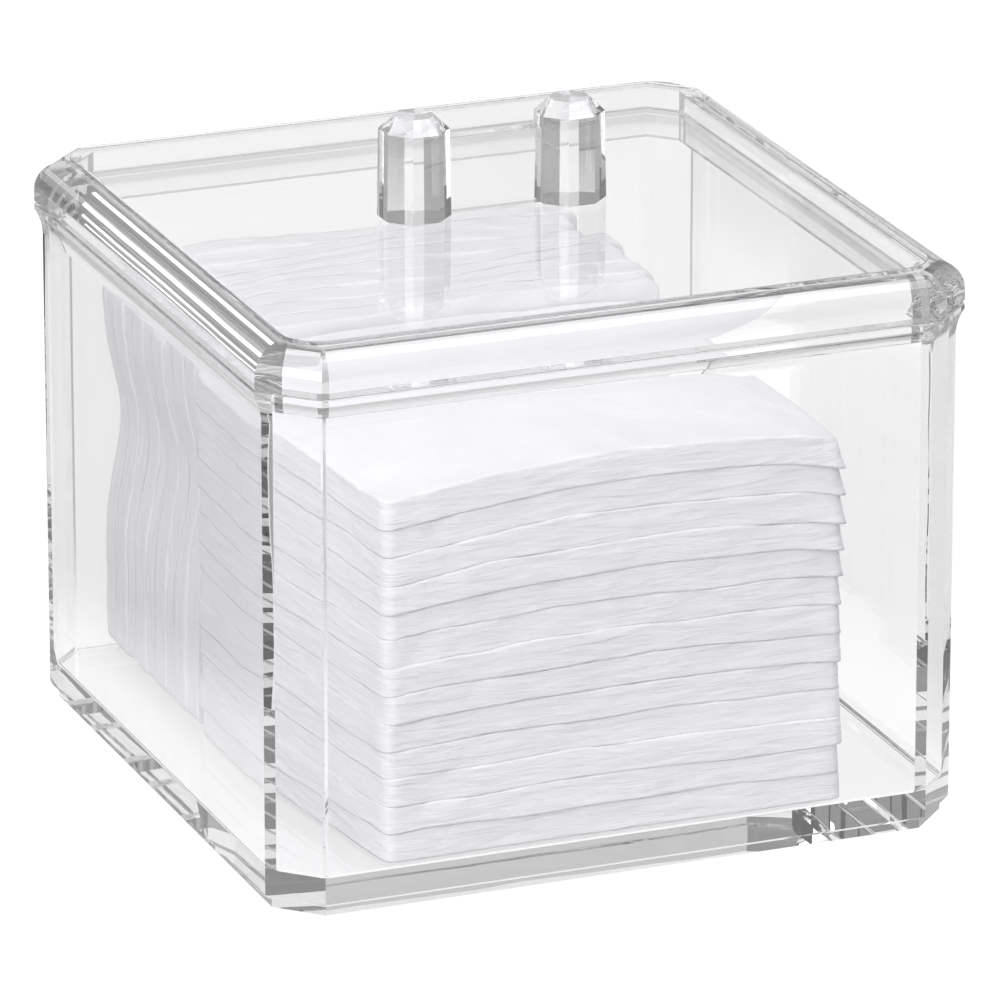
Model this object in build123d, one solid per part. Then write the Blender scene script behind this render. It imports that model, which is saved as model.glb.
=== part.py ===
from build123d import *
import math
import os

# Clear moulded box for square cotton pads, with a lift-off lid.
# Millimetres. X runs along the front, Y runs from front to back, Z is up.
# The origin is the middle of the flat foot that the box stands on.

# Box
body_width = 92.5  # across two opposite walls, outside
corner_cut = 5.8  # leg of each flat upright corner
wall = 2.2
floor_thickness = 4.6  # foot included
foot_height = 1.4
foot_inset = 1.0
base_chamfer = 0.4
wall_height = 62.3  # from the foot to the start of the flared rim
flare_height = 3.2
flare_out = 0.95
rim_band = 0.9  # upright band above the flare
edge_round = 0.3
inner_corner_round = 0.6

# Lid
seat_gap = 0.05  # parting line between rim and lid
lid_overhang = 0.95
bead_height = 5.5
bead_round = 3.8
panel_inset = 3.3  # from the wall's outer face to the raised panel
panel_rise = 0.5
panel_corner = 5.0
panel_edge_round = 0.15
panel_thickness = 2.1
lip_clearance = 0.5
lip_thickness = 1.6
lip_depth = 2.9

# Handle
glue_gap = 0.05
post_spacing = 21.1
post_sides = 8
post_base_radius = 4.7
post_shoulder_radius = 4.5
post_top_radius = 2.65
post_shoulder_height = 11.4
post_bevel_height = 1.8
web_thickness = 2.0
web_height = 9.8

# Cotton pads
lying_pads = 13
standing_pads = 9
pad_width = 66.0
pad_depth = 52.0
pad_thickness = 3.15  # at the edges of a lying pad
pad_crown = 0.34  # extra thickness in the middle of a lying pad
pad_corner = 3.0
pad_edge_round = 0.9  # of the pads that stand on edge
lying_gap = 0.42
standing_gap = 0.3
pad_wall_gap = 0.3
pad_wander = 0.5  # how far a pad lies out of line, either way
lying_centre_x = -2.9
standing_centre_x = -4.0

# Levels and distances that follow from the sizes above
half_width = body_width / 2
flare_level = foot_height + wall_height
rim_level = flare_level + flare_height + rim_band
lid_level = rim_level + seat_gap
crest_level = lid_level + bead_height
panel_level = crest_level + panel_rise
lip_level = rim_level - lip_depth
lip_inset = wall + lip_clearance
handle_level = panel_level + glue_gap
post_octagon_turn = 180 / post_sides
inner_half = half_width - wall
pad_level = floor_thickness + pad_wall_gap
lying_step = pad_thickness + lying_gap
standing_room = 2 * (inner_half - pad_wall_gap - pad_wander) - pad_depth
standing_step = standing_room / standing_pads
standing_thickness = standing_step - standing_gap


def octagon(offset):
    """Plan of the box, grown by offset, as a face."""
    half = half_width + offset
    leg = corner_cut + offset * (2 - math.sqrt(2))
    quarter = [(half, half - leg), (half - leg, half)]
    points = quarter + [(-x, y) for x, y in reversed(quarter)]
    points += [(-x, -y) for x, y in quarter]
    points += [(x, -y) for x, y in reversed(quarter)]
    return make_face(Polyline(*points, close=True))


def octagon_block(offset, low, high):
    return Pos(0, 0, low) * extrude(octagon(offset), high - low)


def across_corners():
    """Distance from the middle to a flat corner's face."""
    return (2 * half_width - corner_cut) / math.sqrt(2)


def moulded(side_profile):
    """Body whose four walls and four flat corners all follow one side profile."""
    body = None
    for angle, distance in ((0, half_width), (90, half_width),
                            (45, across_corners()), (135, across_corners())):
        face = make_face(side_profile(distance))
        face = face + mirror(face, about=Plane.YZ)
        slab = Rot(0, 0, angle) * extrude(face, body_width, both=True)
        body = slab if body is None else body & slab
    return body


def box_profile(distance):
    """Half section of the outside of the box, distance out to the wall face."""
    foot = distance - foot_inset
    lip = distance + flare_out
    flare_top = flare_level + flare_height
    with BuildLine(Plane.XZ) as line:
        Polyline((0, rim_level), (0, 0), (foot, 0), (foot, foot_height),
                 (distance - base_chamfer, foot_height),
                 (distance, foot_height + base_chamfer), (distance, flare_level))
        TangentArc((distance, flare_level), (lip, flare_top), tangent=(0, 1))
        Line((lip, flare_top), (lip, rim_level - edge_round))
        RadiusArc((lip, rim_level - edge_round), (lip - edge_round, rim_level), -edge_round)
        Line((lip - edge_round, rim_level), (0, rim_level))
    return line.line


def lid_profile(distance):
    """Half section of the outside of the lid, up to the crest of its bead."""
    edge = distance + lid_overhang
    bead_start = crest_level - bead_round
    with BuildLine(Plane.XZ) as line:
        Polyline((0, crest_level), (0, lid_level), (edge - edge_round, lid_level))
        RadiusArc((edge - edge_round, lid_level), (edge, lid_level + edge_round), -edge_round)
        Line((edge, lid_level + edge_round), (edge, bead_start))
        RadiusArc((edge, bead_start), (edge - bead_round, crest_level), -bead_round)
        Line((edge - bead_round, crest_level), (0, crest_level))
    return line.line


def make_box():
    cavity = octagon_block(-wall, floor_thickness, rim_level)
    bottom_edges = cavity.edges().group_by(Axis.Z)[0]
    cavity = fillet(bottom_edges, inner_corner_round)
    return moulded(box_profile) - cavity


def make_lid():
    panel_width = 2 * (half_width - panel_inset)
    panel = extrude(RectangleRounded(panel_width, panel_width, panel_corner), panel_rise)
    panel = fillet(panel.faces().sort_by(Axis.Z)[-1].edges(), panel_edge_round)
    lid = moulded(lid_profile) + Pos(0, 0, crest_level) * panel
    lid += octagon_block(-lip_inset, lip_level, lid_level)
    underside = panel_level - panel_thickness
    return lid - octagon_block(-lip_inset - lip_thickness, lip_level, underside)


def post_section(radius, level):
    return Pos(0, 0, level) * RegularPolygon(radius, post_sides, rotation=post_octagon_turn)


def make_handle():
    """Two faceted posts and the thin web between them, one moulding."""
    base = post_section(post_base_radius, 0)
    shoulder = post_section(post_shoulder_radius, post_shoulder_height)
    top = post_section(post_top_radius, post_shoulder_height + post_bevel_height)
    post = loft([base, shoulder], ruled=True) + loft([shoulder, top], ruled=True)
    handle = Pos(0, 0, web_height / 2) * Box(post_spacing, web_thickness, web_height)
    for side in (-1, 1):
        handle += Pos(side * post_spacing / 2, 0, 0) * post
    return Pos(0, 0, handle_level) * handle


def lying_bow(index):
    """How much higher the middle of a lying pad's underside is than its ends."""
    return index * pad_crown


def lying_pad(index):
    """Pad number index of the stack, the ends of its underside on level 0."""
    half = pad_width / 2
    low, high = lying_bow(index), lying_bow(index + 1)
    with BuildLine(Plane.XZ) as line:
        if low > 0:
            ThreePointArc((-half, 0), (0, low), (half, 0))
        else:
            Line((-half, 0), (half, 0))
        Line((half, 0), (half, pad_thickness))
        ThreePointArc((half, pad_thickness), (0, pad_thickness + high), (-half, pad_thickness))
        Line((-half, pad_thickness), (-half, 0))
    pad = extrude(make_face(line.line), pad_depth / 2, both=True)
    return fillet(pad.edges().filter_by(Axis.Z), pad_corner)


def standing_pad():
    """Pad on its edge, its underside on level 0."""
    outline = Plane.XZ * RectangleRounded(pad_width, pad_depth, pad_corner)
    pad = extrude(outline, standing_thickness / 2, both=True)
    pad = fillet(pad.faces().filter_by(Axis.Y).edges(), pad_edge_round)
    return Pos(0, 0, pad_depth / 2) * pad


def wander(index, rate):
    """Side step of a pad, within pad_wander either way, the same each run."""
    return pad_wander * math.sin(rate * (index + 1))


def lying_stack():
    """Pads lying flat against the front wall, by name."""
    pads = {}
    middle = -inner_half + pad_wall_gap + pad_wander + pad_depth / 2
    for index in range(lying_pads):
        place = Pos(lying_centre_x + wander(index, 2.3), middle + wander(index, 1.7),
                    pad_level + index * lying_step)
        pads[f"pad_lying_{index + 1:02d}"] = place * lying_pad(index)
    return pads


def standing_row():
    """Pads on edge, from the back wall forward to the stack, by name."""
    pads = {}
    rearmost = inner_half - pad_wall_gap - standing_thickness / 2
    for index in range(standing_pads):
        place = Pos(standing_centre_x + wander(index, 2.9), rearmost - index * standing_step,
                    pad_level)
        pads[f"pad_standing_{index + 1:02d}"] = place * standing_pad()
    return pads


nodes = {"box": make_box(), "lid": make_lid(), "handle": make_handle()}
nodes.update(lying_stack())
nodes.update(standing_row())

os.makedirs("parts", exist_ok=True)
for name, shape in nodes.items():
    shape.label = name
    export_step(shape, f"parts/{name}.step")
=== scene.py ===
import math

import bpy
import numpy as np
from mathutils import Matrix, Vector


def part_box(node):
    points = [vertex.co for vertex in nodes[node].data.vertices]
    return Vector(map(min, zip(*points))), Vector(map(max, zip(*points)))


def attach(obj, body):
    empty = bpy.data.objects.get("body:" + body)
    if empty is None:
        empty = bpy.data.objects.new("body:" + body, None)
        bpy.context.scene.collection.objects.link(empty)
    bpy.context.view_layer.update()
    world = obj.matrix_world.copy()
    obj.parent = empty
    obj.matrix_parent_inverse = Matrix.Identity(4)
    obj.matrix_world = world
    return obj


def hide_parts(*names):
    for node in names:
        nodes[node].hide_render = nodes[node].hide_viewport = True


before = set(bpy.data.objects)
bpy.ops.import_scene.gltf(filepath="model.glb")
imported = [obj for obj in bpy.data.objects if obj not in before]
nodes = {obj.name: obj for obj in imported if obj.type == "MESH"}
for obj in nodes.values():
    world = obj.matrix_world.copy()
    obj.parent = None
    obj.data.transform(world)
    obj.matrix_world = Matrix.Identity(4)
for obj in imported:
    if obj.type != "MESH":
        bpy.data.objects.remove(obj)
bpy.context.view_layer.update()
scene = bpy.context.scene


# ---------------------------------------------------------------- camera
EYE = Vector((-0.416556, -1.047407, 0.432387))
BACK = Vector((-0.34926, -0.87587, 0.33298)).normalized()  # from the object to the eye
LENS, SENSOR = 336.4, 36.0

camera_data = bpy.data.cameras.new("camera")
camera_data.sensor_width = SENSOR
camera_data.lens = LENS
camera_data.clip_start = 0.05
camera_data.clip_end = 20.0
camera = bpy.data.objects.new("camera", camera_data)
side = Vector((0, 0, 1)).cross(BACK).normalized()
over = BACK.cross(side)
camera.matrix_world = Matrix((
    (side.x, over.x, BACK.x, EYE.x),
    (side.y, over.y, BACK.y, EYE.y),
    (side.z, over.z, BACK.z, EYE.z),
    (0, 0, 0, 1),
))
scene.collection.objects.link(camera)
scene.camera = camera


# ---------------------------------------------------------------- node helpers
def new_material(name):
    mat = bpy.data.materials.new(name)
    mat.use_nodes = True
    mat.node_tree.nodes.clear()
    return mat, mat.node_tree


def node(tree, kind, **settings):
    n = tree.nodes.new(kind)
    for key, value in settings.items():
        if key in n.bl_rna.properties:
            setattr(n, key, value)
        else:
            n.inputs[key.replace("_", " ")].default_value = value
    return n


def math_node(tree, operation, first, second=None):
    n = tree.nodes.new("ShaderNodeMath")
    n.operation = operation
    for i, value in enumerate((first, second)):
        if value is None:
            continue
        if isinstance(value, (int, float)):
            n.inputs[i].default_value = value
        else:
            tree.links.new(value, n.inputs[i])
    return n.outputs[0]


def any_ray(tree, *names):
    """1 for rays of any of the named kinds."""
    path = tree.nodes.new("ShaderNodeLightPath")
    total = path.outputs[names[0]]
    for name in names[1:]:
        total = math_node(tree, "MAXIMUM", total, path.outputs[name])
    return total


# ---------------------------------------------------------------- studio
AHEAD = (0.3704, 0.9289, 0)  # level direction from the eye to the object
ASIDE = (0.9289, -0.3704, 0)

# What gloss and glass see of the floor and the room, where 1 is white. The floor's levels are
# painted reflections: its glow is painted darker in places for gloss and glass only.
# Painted reflections in the floor's glow, seen only by gloss and glass: painted darker beside
# and behind the object, far away, and in a painted dark band in front of it
PAINTED_SIDE_LEVEL = 0.27  # beside the object and behind
FAR_LEVEL = 0.68  # far away
FRONT_LEVEL = 0.42  # the dark band in front of the object
OUTER_LEVEL = 0.95  # in front of that band
ROOM_LOW, ROOM_HIGH, CEILING = 0.20, 0.42, 0.75

FLOOR_LEVEL = -0.0004
FLOOR_WIDTH = 4.4
FLOOR_FRONT, FLOOR_REAR = -2.2, 1.1
SWEEP_RADIUS = 0.5
SWEEP_STEPS = 12
BACKDROP_TOP = 1.6
GLOW = 0.85  # share of the white that the floor gives off by itself
WHITE = 1.06  # that share and the share lit by the lamps
BOUNCE = 0.45  # the floor's shade for light that it throws back on the object


def ramp(tree, value, low, high, start, end):
    """start where value is below low, end above high, and a smooth step between."""
    n = node(tree, "ShaderNodeMapRange", interpolation_type="SMOOTHSTEP")
    n.inputs["From Min"].default_value = low
    n.inputs["From Max"].default_value = high
    n.inputs["To Min"].default_value = start
    n.inputs["To Max"].default_value = end
    tree.links.new(value, n.inputs["Value"])
    return n.outputs[0]


def along(tree, vector, direction):
    """How far vector reaches in the given direction."""
    n = node(tree, "ShaderNodeVectorMath", operation="DOT_PRODUCT")
    n.inputs[1].default_value = direction
    tree.links.new(vector, n.inputs[0])
    return n.outputs["Value"]


def studio_level(tree):
    """How bright glass and gloss see the floor: white under and behind the object, darker beside
    it, far away and in a band in front of it. These are painted reflections: only gloss and
    glass see the floor's glow painted darker there, and the eye sees it evenly white."""
    coord = node(tree, "ShaderNodeTexCoord")
    place = coord.outputs["Object"]
    depth = along(tree, place, AHEAD)
    sideways = math_node(tree, "ABSOLUTE", along(tree, place, ASIDE))
    away = math_node(tree, "SQRT", math_node(
        tree, "ADD", math_node(tree, "POWER", math_node(tree, "ABSOLUTE", depth), 2.0),
        math_node(tree, "POWER", sideways, 2.0)))
    spread = math_node(tree, "SUBTRACT", sideways, math_node(tree, "MULTIPLY", depth, 0.10))
    # Painted reflection: the floor's glow is painted darker beside the object, for gloss and
    # glass only
    strip = ramp(tree, spread, 0.062, 0.088, 1.0, PAINTED_SIDE_LEVEL)
    fore = ramp(tree, depth, -0.06, 0.0, 1.0, 0.0)
    near_part = math_node(tree, "MAXIMUM", strip, fore)
    far_part = ramp(tree, away, 0.42, 1.0, 1.0, FAR_LEVEL)
    front_part = math_node(tree, "MAXIMUM",
                           ramp(tree, depth, -0.20, -0.13, OUTER_LEVEL, FRONT_LEVEL),
                           ramp(tree, depth, -0.10, -0.06, FRONT_LEVEL, 1.0))
    least = math_node(tree, "MINIMUM", near_part, far_part)
    return math_node(tree, "MINIMUM", least, front_part)


def floor_material():
    """White floor and backdrop that keep the object's shadow. For gloss and glass their glow is
    painted darker in places, as painted reflections.
    """
    mat, tree = new_material("studio_white")
    out = node(tree, "ShaderNodeOutputMaterial")
    plain = node(tree, "ShaderNodeBsdfDiffuse")
    plain.inputs["Color"].default_value = (BOUNCE, BOUNCE, BOUNCE, 1)
    lit = node(tree, "ShaderNodeBsdfDiffuse")
    lit_share = WHITE - GLOW
    lit.inputs["Color"].default_value = (lit_share, lit_share, lit_share, 1)
    glow = node(tree, "ShaderNodeEmission")
    glow.inputs["Color"].default_value = (1, 1, 1, 1)
    eye = any_ray(tree, "Is Camera Ray")
    # Painted reflection: gloss and glass see the glow at the painted levels, and the eye sees it
    # evenly white
    level = math_node(tree, "MAXIMUM", studio_level(tree), eye)
    tree.links.new(math_node(tree, "MULTIPLY", level, GLOW), glow.inputs["Strength"])
    both = node(tree, "ShaderNodeAddShader")
    tree.links.new(lit.outputs[0], both.inputs[0])
    tree.links.new(glow.outputs[0], both.inputs[1])
    mix = node(tree, "ShaderNodeMixShader")
    tree.links.new(any_ray(tree, "Is Camera Ray", "Is Glossy Ray", "Is Transmission Ray"),
                   mix.inputs[0])
    tree.links.new(plain.outputs[0], mix.inputs[1])
    tree.links.new(both.outputs[0], mix.inputs[2])
    tree.links.new(mix.outputs[0], out.inputs["Surface"])
    return mat


def studio_floor():
    """A floor that sweeps up into a backdrop."""
    profile = [(FLOOR_FRONT, FLOOR_LEVEL), (FLOOR_REAR, FLOOR_LEVEL)]
    for step in range(1, SWEEP_STEPS + 1):
        turn = math.radians(90 * step / SWEEP_STEPS)
        profile.append((FLOOR_REAR + SWEEP_RADIUS * math.sin(turn),
                        FLOOR_LEVEL + SWEEP_RADIUS * (1 - math.cos(turn))))
    profile.append((FLOOR_REAR + SWEEP_RADIUS, BACKDROP_TOP))
    points = []
    for y, z in profile:
        points += [(-FLOOR_WIDTH / 2, y, z), (FLOOR_WIDTH / 2, y, z)]
    faces = [(2 * i, 2 * i + 1, 2 * i + 3, 2 * i + 2) for i in range(len(profile) - 1)]
    mesh = bpy.data.meshes.new("studio_floor")
    mesh.from_pydata(points, [], faces)
    mesh.materials.append(floor_material())
    obj = bpy.data.objects.new("studio_floor", mesh)
    scene.collection.objects.link(obj)


def studio_world():
    """White to the eye. Gloss and glass see a room with a bright ceiling."""
    world = bpy.data.worlds.new("studio_world")
    world.use_nodes = True
    tree = world.node_tree
    tree.nodes.clear()
    view = node(tree, "ShaderNodeTexCoord").outputs["Generated"]
    low = ramp(tree, along(tree, view, AHEAD), -0.2, 0.7, ROOM_LOW, ROOM_HIGH)
    high = ramp(tree, along(tree, view, (0, 0, 1)), 0.35, 0.72, 0.0, CEILING)
    level = math_node(tree, "MAXIMUM", math_node(tree, "MAXIMUM", low, high),
                      any_ray(tree, "Is Camera Ray"))
    background = node(tree, "ShaderNodeBackground")
    background.inputs["Color"].default_value = (1, 1, 1, 1)
    tree.links.new(level, background.inputs["Strength"])
    out = node(tree, "ShaderNodeOutputWorld")
    tree.links.new(background.outputs[0], out.inputs["Surface"])
    scene.world = world


def lamp(name, place, aim_height, size, power, in_glass=False, in_gloss=True):
    """A rectangular lamp aimed at the object. Clear plastic shows it only where asked."""
    data = bpy.data.lights.new(name, "AREA")
    data.shape = "RECTANGLE"
    data.size, data.size_y = size
    data.energy = power
    obj = bpy.data.objects.new(name, data)
    obj.location = place
    aim = Vector((0, 0, aim_height)) - Vector(place)
    obj.rotation_euler = aim.to_track_quat("-Z", "Y").to_euler()
    obj.visible_transmission = in_glass
    obj.visible_glossy = in_gloss
    scene.collection.objects.link(obj)


studio_floor()
studio_world()
lamp("top_light", (0.32, -0.10, 1.15), 0.03, (0.6, 0.6), 3.9)
lamp("back_light", (-0.42, 1.25, 0.56), 0.06, (0.15, 0.3), 0.22, in_glass=True)
lamp("front_light", (0.15, -1.35, 0.65), 0.04, (0.8, 0.6), 5.1, in_gloss=False)
lamp("left_light", (-1.1, -0.65, 0.45), 0.03, (0.8, 0.7), 11.5)
lamp("rear_light", (0.5, 1.5, 0.25), 0.04, (0.8, 0.4), 2.8, in_gloss=False)
lamp("right_light", (1.2, -0.3, 0.7), 0.04, (0.5, 0.7), 1.2)


# ---------------------------------------------------------------- clear plastic
def clear_plastic(name, scale, bump):
    """Moulded clear plastic with faint flow waves. scale is how close they lie together and
    bump how strong they are."""
    mat, tree = new_material(name)
    out = node(tree, "ShaderNodeOutputMaterial")
    coord = node(tree, "ShaderNodeTexCoord")
    flow = node(tree, "ShaderNodeTexNoise")
    flow.inputs["Scale"].default_value = scale
    flow.inputs["Detail"].default_value = 1.5
    flow.inputs["Roughness"].default_value = 0.35
    tree.links.new(coord.outputs["Object"], flow.inputs["Vector"])
    wave = node(tree, "ShaderNodeBump")
    wave.inputs["Strength"].default_value = bump
    wave.inputs["Distance"].default_value = 0.0004
    tree.links.new(flow.outputs[0], wave.inputs["Height"])
    glass = node(tree, "ShaderNodeBsdfPrincipled")
    glass.inputs["Base Color"].default_value = (0.992, 0.990, 0.994, 1)
    glass.inputs["Roughness"].default_value = 0.0
    glass.inputs["IOR"].default_value = 1.49
    glass.inputs["Transmission Weight"].default_value = 1.0
    tree.links.new(wave.outputs[0], glass.inputs["Normal"])
    through = node(tree, "ShaderNodeBsdfTransparent")
    through.inputs["Color"].default_value = (0.97, 0.97, 0.975, 1)
    mix = node(tree, "ShaderNodeMixShader")
    tree.links.new(any_ray(tree, "Is Shadow Ray", "Is Diffuse Ray"), mix.inputs[0])
    tree.links.new(glass.outputs[0], mix.inputs[1])
    tree.links.new(through.outputs[0], mix.inputs[2])
    tree.links.new(mix.outputs[0], out.inputs["Surface"])
    depth = node(tree, "ShaderNodeVolumeAbsorption")
    depth.inputs["Color"].default_value = (0.04, 0.02, 0.04, 1)
    depth.inputs["Density"].default_value = 2.2
    tree.links.new(depth.outputs[0], out.inputs["Volume"])
    return mat


FLOW_WAVES = {"box": (45.0, 0.08), "lid": (45.0, 0.06), "handle": (120.0, 0.15)}
for name, (scale, bump) in FLOW_WAVES.items():
    materials = nodes[name].data.materials
    materials.clear()
    materials.append(clear_plastic("clear_plastic_" + name, scale, bump))


# ---------------------------------------------------------------- cotton
def cotton_material(name, across):
    """White pressed cotton. across is how closely its fibres lie along x, y and z."""
    mat, tree = new_material(name)
    out = node(tree, "ShaderNodeOutputMaterial")
    coord = node(tree, "ShaderNodeTexCoord")
    stretch = node(tree, "ShaderNodeMapping")
    stretch.inputs["Scale"].default_value = across
    tree.links.new(coord.outputs["Object"], stretch.inputs["Vector"])
    fibres = node(tree, "ShaderNodeTexNoise")
    fibres.inputs["Scale"].default_value = 260.0
    fibres.inputs["Detail"].default_value = 5.0
    fibres.inputs["Roughness"].default_value = 0.62
    fibres.inputs["Distortion"].default_value = 0.6
    tree.links.new(stretch.outputs[0], fibres.inputs["Vector"])
    fluff = node(tree, "ShaderNodeTexNoise")
    fluff.inputs["Scale"].default_value = 110.0
    fluff.inputs["Detail"].default_value = 4.0
    tree.links.new(coord.outputs["Object"], fluff.inputs["Vector"])
    tone = node(tree, "ShaderNodeMix")
    tone.data_type = "RGBA"
    tone.inputs["A"].default_value = (0.80, 0.80, 0.83, 1)
    tone.inputs["B"].default_value = (0.95, 0.95, 0.965, 1)
    blend = math_node(tree, "ADD", math_node(tree, "MULTIPLY", fibres.outputs[0], 0.7),
                      math_node(tree, "MULTIPLY", fluff.outputs[0], 0.3))
    tree.links.new(blend, tone.inputs["Factor"])
    height = math_node(tree, "ADD", fibres.outputs[0],
                       math_node(tree, "MULTIPLY", fluff.outputs[0], 0.8))
    bump = node(tree, "ShaderNodeBump")
    bump.inputs["Strength"].default_value = 0.6
    bump.inputs["Distance"].default_value = 0.0007
    tree.links.new(height, bump.inputs["Height"])
    soft = node(tree, "ShaderNodeBsdfPrincipled")
    soft.inputs["Roughness"].default_value = 0.95
    soft.inputs["Specular IOR Level"].default_value = 0.1
    soft.inputs["Sheen Weight"].default_value = 0.2
    soft.inputs["Sheen Roughness"].default_value = 0.5
    tree.links.new(tone.outputs["Result"], soft.inputs["Base Color"])
    tree.links.new(bump.outputs[0], soft.inputs["Normal"])
    tree.links.new(soft.outputs[0], out.inputs["Surface"])
    return mat


# From here to the end of the pads, lengths are in mm, in a pad's own place: x and y run along
# its flat faces from its middle, and the third number is the height of a face.
MM = 0.001
PAD_X, PAD_Y = 33.0, 26.0  # half its width and depth
CORNER = 1.8
AIR = 0.01  # between two pads that touch
ALIGN = 0.35  # how much of a solid's step out of line its soft pad follows
EDGE_INSET = 0.2
EDGE_RAGGED = 0.05
EDGE_DRIFT = 0.07
PLY_RAGGED = 0.035
PLY_ROWS = 9
PLY_KINDS = 7
FACE_DENT = 0.05
RIM_COUNT = 300  # points round a pad


def soft_noise(rng, waves, low, high):
    """A smooth function of two numbers in mm, mean 0 and size about 1, the same each run."""
    parts = []
    for _ in range(waves):
        turn = rng.uniform(0, 2 * math.pi)
        rate = 2 * math.pi / rng.uniform(low, high)
        parts.append((math.cos(turn) * rate, math.sin(turn) * rate, rng.uniform(0, 2 * math.pi)))
    scale = math.sqrt(2.0 / waves)

    def value(a, b):
        total = 0
        for ka, kb, phase in parts:
            total = total + np.sin(ka * a + kb * b + phase)
        return total * scale
    return value


def rim_points():
    """Points round a pad's cut edge, evenly spaced, with their outward directions."""
    sx, sy = PAD_X - CORNER, PAD_Y - CORNER
    arc = CORNER * math.pi / 2
    total = 4 * (sx + sy) + 4 * arc
    points, outward = [], []
    for i in range(RIM_COUNT):
        d = (i + 0.5) * total / RIM_COUNT
        for quarter in range(4):
            long_run, end_run = (sy, sx) if quarter % 2 == 0 else (sx, sy)
            edge = (PAD_X, PAD_Y) if quarter % 2 == 0 else (PAD_Y, PAD_X)
            if d < long_run:
                x, y, nx, ny = edge[0], d, 1.0, 0.0
                break
            d -= long_run
            if d < arc:
                t = d / CORNER
                nx, ny = math.cos(t), math.sin(t)
                x = edge[0] - CORNER + CORNER * nx
                y = edge[1] - CORNER + CORNER * ny
                break
            d -= arc
            if d < end_run:
                x, y, nx, ny = end_run - d, edge[1], 0.0, 1.0
                break
            d -= end_run
        for _ in range(quarter):
            x, y, nx, ny = -y, x, -ny, nx
        points.append((x, y))
        outward.append((nx, ny))
    return np.array(points), np.array(outward)


REACHES = np.array([0.12, 0.25, 0.38, 0.5, 0.61, 0.71, 0.79, 0.86, 0.91, 0.95, 0.975, 0.99, 1.0])
RIM, OUTWARD = rim_points()


def pad_mesh(name, seed, lower, upper, shear, squeeze):
    """A closed pad with a ragged cut edge. lower and upper give its two faces, shear how far
    the upper edge stands back from the lower one, and squeeze where a point is pushed."""
    rng = np.random.default_rng(seed)
    ragged = soft_noise(rng, 14, 2.2, 16)
    drift = soft_noise(rng, 4, 40, 90)
    dent = soft_noise(rng, 10, 5, 16)
    ply = [soft_noise(rng, 10, 2.5, 12) for _ in range(PLY_KINDS)]
    ex, ey = RIM[:, 0], RIM[:, 1]
    nx, ny = OUTWARD[:, 0], OUTWARD[:, 1]
    edge = EDGE_RAGGED * ragged(ex, ey) + EDGE_DRIFT * drift(ex, ey) - EDGE_INSET
    back = shear(ex, ey)
    rows = []

    def face_row(reach, level, offset):
        x, y = squeeze((ex + nx * offset) * reach, (ey + ny * offset) * reach)
        return np.column_stack((x, y, level(x, y)))

    top_soft = np.clip(0.02 + 0.04 * ragged(ex * 1.7, ey * 1.7), 0.0, 0.2)
    for reach in REACHES[:-1]:
        row = face_row(reach, upper, (edge - back / 2 - top_soft) * reach)
        row[:, 2] += FACE_DENT * dent(row[:, 0], row[:, 1])
        rows.append(row)
    top = face_row(1.0, upper, edge - back / 2 - top_soft)
    low = face_row(1.0, lower, edge + back / 2)
    rows.append(top)
    for i in range(1, PLY_ROWS):
        t = i / PLY_ROWS
        out = edge + back * (t - 0.5) + PLY_RAGGED * ply[i % PLY_KINDS](ex, ey)
        x, y = squeeze(ex + nx * out, ey + ny * out)
        shape = 0.5 - 0.5 * math.cos(math.pi * t)
        mix = 0.6 * t + 0.4 * shape
        rows.append(np.column_stack((x, y, top[:, 2] * (1 - mix) + low[:, 2] * mix)))
    rows.append(low)
    for reach in REACHES[:-1][::-1]:
        rows.append(face_row(reach, lower, (edge + back / 2) * reach))
    around = len(ex)
    verts = [(0.0, 0.0, float(upper(0.0, 0.0)))]
    for row in rows:
        verts += [tuple(map(float, p)) for p in row]
    verts.append((0.0, 0.0, float(lower(0.0, 0.0))))
    faces = []
    for i in range(around):
        j = (i + 1) % around
        faces.append((0, 1 + i, 1 + j))
        for r in range(len(rows) - 1):
            a, b = 1 + r * around, 1 + (r + 1) * around
            faces.append((a + i, b + i, b + j, a + j))
        last = 1 + (len(rows) - 1) * around
        faces.append((last + i, len(verts) - 1, last + j))
    mesh = bpy.data.meshes.new(name)
    mesh.from_pydata(verts, [], faces)
    for polygon in mesh.polygons:
        polygon.use_smooth = True
    return mesh


def add_pad(name, mesh, place, mat):
    """Put a pad's mesh in its place, in the stead of the CAD pad of that name."""
    obj = bpy.data.objects.new("cotton_" + name, mesh)
    mesh.transform(place @ Matrix.Scale(MM, 4))
    mesh.materials.append(mat)
    mesh.update()
    scene.collection.objects.link(obj)
    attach(obj, "box_body")
    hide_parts(name)


lying = sorted(n for n in nodes if n.startswith("pad_lying"))
standing = sorted(n for n in nodes if n.startswith("pad_standing"))
folds = np.random.default_rng(7)


# ---------------------------------------------------------------- the stack that lies flat
BOW = 0.19  # how much thicker a pad is in its middle than at its ends
LIFT = 0.095  # how much thicker its ends are than the CAD pad's
SKEW = 0.7  # rise of the stack's top to the right, and as much fall to the left
END_DROOP = 0.9  # of the stack's top, at its right end
CORNER_DROOP = 0.3  # at its front left corner
REAR_RISE = 1.8  # at its rear left corner
LAYER_RIPPLE = 0.13
LOOSE_PADS = 7  # the top ones, whose right ends are cut more and more slanting
DRAWN_IN = 4.2  # of the front left corner

first_low, first_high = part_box(lying[0])
last_low, last_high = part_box(lying[-1])
stack_x = (first_low.x + first_high.x) / 2 / MM
stack_y = (first_low.y + first_high.y) / 2 / MM
stack_z = first_low.z / MM
step_z = (last_low.z / MM - stack_z) / (len(lying) - 1)
ripples = [soft_noise(folds, 8, 12, 40) for _ in range(len(lying) + 1)]


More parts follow.
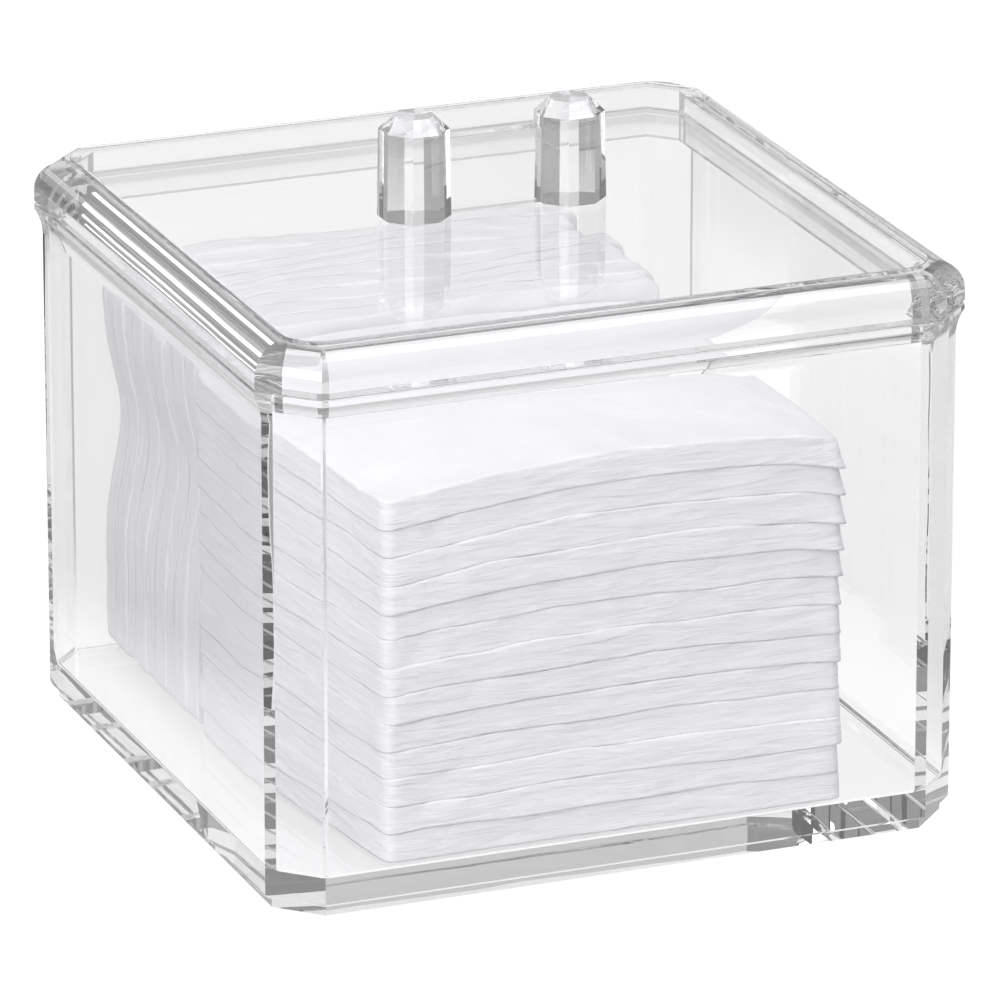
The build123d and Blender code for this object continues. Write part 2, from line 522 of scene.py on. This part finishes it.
def layer(k):
    """Height over the stack's underside of the face between pads k - 1 and k."""
    share = k / len(lying)

    def level(x, y):
        bow = k * BOW * (1 - (x / PAD_X) ** 2)
        skew = SKEW * share * x / PAD_X
        droop = -END_DROOP * share * np.clip((x - 24) / 9, 0, 1) ** 2
        droop = droop - CORNER_DROOP * share * np.exp(-((x + 33) ** 2 + (y + 26) ** 2) / 120.0)
        rear = REAR_RISE * share * np.clip(-x / 33, 0, 1) * np.clip((y + 20) / 46, 0, 1)
        ripple = LAYER_RIPPLE * ripples[k](x, y) + rear if 0 < k else 0.0 * x
        return k * (step_z + LIFT) + bow + skew + droop + ripple
    return level


def drawn_in(x, y):
    """The stack's left side, which runs inwards to the front."""
    front_left = np.clip((8 - y) / 34, 0, 1) * np.clip((-18 - x) / 15, 0, 1)
    return x + DRAWN_IN * front_left, y


def lying_pad(index, name, mat):
    low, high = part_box(name)
    dx = ((low.x + high.x) / 2 / MM - stack_x) * ALIGN
    dy = ((low.y + high.y) / 2 / MM - stack_y) * ALIGN
    under, over_it = layer(index), layer(index + 1)
    wedge = 0.25 + 1.1 * max(0.0, index - len(lying) + LOOSE_PADS + 1) / LOOSE_PADS

    def lower(x, y):
        return under(x + dx, y + dy) + AIR / 2

    def upper(x, y):
        return over_it(x + dx, y + dy) - AIR / 2

    def shear(x, y):
        left_end = np.clip((-x - 26) / 6, 0, 1)
        right_end = np.clip((x - 26) / 6, 0, 1)
        return wedge * (0.03 + 0.15 * left_end + 0.97 * right_end)

    mesh = pad_mesh(name, 100 + index, lower, upper, shear, drawn_in)
    place = Matrix.Translation(((stack_x + dx) * MM, (stack_y + dy) * MM, stack_z * MM))
    add_pad(name, mesh, place, mat)


lying_cotton = cotton_material("pressed_cotton_lying", (0.35, 0.35, 2.6))
standing_cotton = cotton_material("pressed_cotton_standing", (0.35, 2.6, 0.35))
for index, name in enumerate(lying):
    lying_pad(index, name, lying_cotton)


# ---------------------------------------------------------------- the row that stands on edge
ROW_RIPPLE = 0.14
ROW_SHEAR = 0.04
WAIST = 2.3  # how far the left ends draw in, halfway up
WAIST_LEVEL = 6  # over the pads' middle
LEFT_INSET = 1.2
SAG = 1.6  # of the top left corners
# How much shorter each pad is at its right end, from the back of the row to its front
ROW_ENDS = (1.0, 2.4, 4.6, 3.2, 0.8, 1.7, 2.3, 0.9, 2.2)

row_low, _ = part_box(standing[-1])
_, row_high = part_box(standing[0])
row_x = (row_low.x + row_high.x) / 2
step_y = (row_high.y - row_low.y) / MM / len(standing)
leaves = [soft_noise(folds, 8, 12, 40) for _ in range(len(standing) + 1)]


def leaf(k):
    """Distance from the back of the row to the face between pads k - 1 and k."""
    def level(x, y):
        ripple = ROW_RIPPLE * leaves[k](x, y) if 0 < k < len(standing) else 0.0 * x
        return k * step_y + ripple
    return level


def standing_pad(index, name, mat):
    low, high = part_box(name)
    centre = (low + high) / 2
    behind, before = leaf(index), leaf(index + 1)

    def lower(x, y):
        return behind(x, y) + AIR / 2

    def upper(x, y):
        return before(x, y) - AIR / 2

    def shear(x, y):
        return ROW_SHEAR + 0.0 * x

    def slumped(x, y):
        left = np.clip((-x - 8) / 25, 0, 1)
        right = np.clip((x - 8) / 25, 0, 1)
        waist = WAIST * np.exp(-((y - WAIST_LEVEL) / 9) ** 2) + LEFT_INSET
        sag = SAG * np.exp(-((x + 33) / 9) ** 2) + 0.4 * np.cos(x / 7 + index)
        top = np.clip((y - WAIST_LEVEL) / 20, 0, 1)
        return x + waist * left - ROW_ENDS[index] * right, y - sag * top

    mesh = pad_mesh(name, 200 + index, lower, upper, shear, slumped)
    turn = Matrix.Rotation(math.radians(90), 4, "X")
    shift = row_x + (centre.x - row_x) * ALIGN
    add_pad(name, mesh, Matrix.Translation((shift, row_high.y, centre.z)) @ turn, mat)


for index, name in enumerate(standing):
    standing_pad(index, name, standing_cotton)


# ---------------------------------------------------------------- render settings
scene.view_settings.view_transform = "Standard"
# Light that is caught inside the clear walls needs many bounces to find its way out.
scene.cycles.max_bounces = 64
scene.cycles.transmission_bounces = 64
scene.cycles.glossy_bounces = 64
scene.cycles.transparent_max_bounces = 64
scene.cycles.diffuse_bounces = 6
